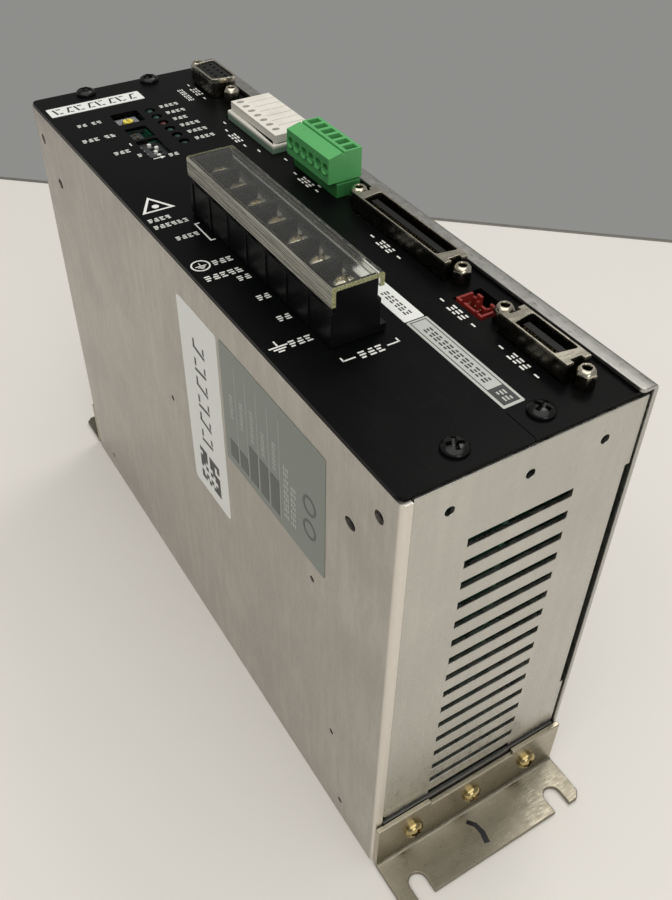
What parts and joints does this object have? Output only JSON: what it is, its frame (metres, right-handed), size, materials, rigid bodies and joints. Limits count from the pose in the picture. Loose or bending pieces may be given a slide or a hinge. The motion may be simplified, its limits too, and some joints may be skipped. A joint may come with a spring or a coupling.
{
  "type": "servo drive",
  "caption": "Slim servo drive: sheet-metal case on end brackets, with terminals, shielded connectors, setting switches and lamps on its black front panel.",
  "frame": {"origin": "centre of the rear mounting plane, on the surface that the drive is screwed to", "axes": "+Z out of the front panel, +Y towards the end that is uppermost when installed, +X to the right across the front panel"},
  "size_m": [0.067, 0.2476, 0.1679],
  "materials": {
    "aluminium_sheet": "satin",
    "black_panel_paint": "semi-gloss",
    "plated_steel": "zinc plated, satin",
    "yellow_plated_screw": "yellow plated",
    "black_screw": "black oxide",
    "black_plastic": "matte",
    "clear_acrylic": "clear, slightly yellowed plastic",
    "nickel_plate": "nickel plated",
    "ivory_plastic": "satin",
    "green_plastic": "satin",
    "red_plastic": "satin",
    "grey_plastic": "matte",
    "yellow_plastic": "satin",
    "white_plastic": "satin",
    "led_lens": "translucent",
    "circuit_board": "solder resist",
    "capacitor_sleeve": "sleeve"
  },
  "bodies": {
    "case": {"bottom_bracket": "plated_steel", "bottom_bracket_screw_1": "yellow_plated_screw", "bottom_bracket_screw_2": "yellow_plated_screw", "bottom_bracket_screw_3": "yellow_plated_screw", "bottom_end_plate": "aluminium_sheet", "bus_capacitor_1": "capacitor_sleeve", "bus_capacitor_2": "capacitor_sleeve", "cn1_insert": "black_plastic", "cn1_jackscrew_1": "nickel_plate", "cn1_jackscrew_2": "nickel_plate", "cn1_shell": "nickel_plate", "cn2_insert": "black_plastic", "cn2_jackscrew_1": "nickel_plate", "cn2_jackscrew_2": "nickel_plate", "cn2_shell": "nickel_plate", "cn3_header": "red_plastic", "cn4_insert": "black_plastic", "cn4_jackscrew_1": "nickel_plate", "cn4_jackscrew_2": "nickel_plate", "cn4_shell": "nickel_plate", "cn5_header": "green_plastic", "control_board": "circuit_board", "dip_switch_body": "grey_plastic", "display_board": "circuit_board", "front_panel": "black_panel_paint", "heat_sink": "aluminium_sheet", "left_cover": "aluminium_sheet", "monitor_header": "grey_plastic", "panel_screw_1": "black_screw", "panel_screw_2": "black_screw", "panel_screw_3": "black_screw", "panel_screw_4": "black_screw", "power_board": "circuit_board", "power_module": "black_plastic", "rear_plate": "aluminium_sheet", "right_cover": "aluminium_sheet", "rotary_switch_body": "grey_plastic", "status_leds": "led_lens", "tb1_body": "black_plastic", "tb1_screw_1": "nickel_plate", "tb1_screw_2": "nickel_plate", "tb1_screw_3": "nickel_plate", "tb1_screw_4": "nickel_plate", "tb1_screw_5": "nickel_plate", "tb1_screw_6": "nickel_plate", "tb1_screw_7": "nickel_plate", "tb2_header": "ivory_plastic", "top_bracket": "plated_steel", "top_bracket_screw_1": "yellow_plated_screw", "top_bracket_screw_2": "yellow_plated_screw", "top_bracket_screw_3": "yellow_plated_screw", "top_end_plate": "aluminium_sheet"},
    "tb1_cover": {"tb1_cover": "clear_acrylic"},
    "tb2_plug": {"tb2_plug": "ivory_plastic"},
    "cn5_plug": {"cn5_plug": "green_plastic"},
    "rotary_switch_rotor": {"rotary_switch_rotor": "yellow_plastic"},
    "dip_lever_1": {"dip_lever_1": "white_plastic"},
    "dip_lever_2": {"dip_lever_2": "white_plastic"},
    "dip_lever_3": {"dip_lever_3": "white_plastic"},
    "dip_lever_4": {"dip_lever_4": "white_plastic"}
  },
  "joints": [
    {"name": "tb1_cover_lift", "type": "slide", "parent": "case", "child": "tb1_cover", "axis": [0, 0, 1], "range_m": [0, 0.02]},
    {"name": "tb2_plug_pull", "type": "slide", "parent": "case", "child": "tb2_plug", "axis": [0, 0, 1], "range_m": [0, 0.012]},
    {"name": "cn5_plug_pull", "type": "slide", "parent": "case", "child": "cn5_plug", "axis": [0, 0, 1], "range_m": [0, 0.012]},
    {"name": "rotary_switch_turn", "type": "hinge", "parent": "case", "child": "rotary_switch_rotor", "pos_m": [-0.01135, 0.0784, 0.1505], "axis": [0, 0, 1], "continuous": true},
    {"name": "dip_lever_1_slide", "type": "slide", "parent": "case", "child": "dip_lever_1", "axis": [1, 0, 0], "range_m": [0, 0.0013]},
    {"name": "dip_lever_2_slide", "type": "slide", "parent": "case", "child": "dip_lever_2", "axis": [1, 0, 0], "range_m": [-0.0013, 0]},
    {"name": "dip_lever_3_slide", "type": "slide", "parent": "case", "child": "dip_lever_3", "axis": [1, 0, 0], "range_m": [0, 0.0013]},
    {"name": "dip_lever_4_slide", "type": "slide", "parent": "case", "child": "dip_lever_4", "axis": [1, 0, 0], "range_m": [0, 0.0013]}
  ]
}
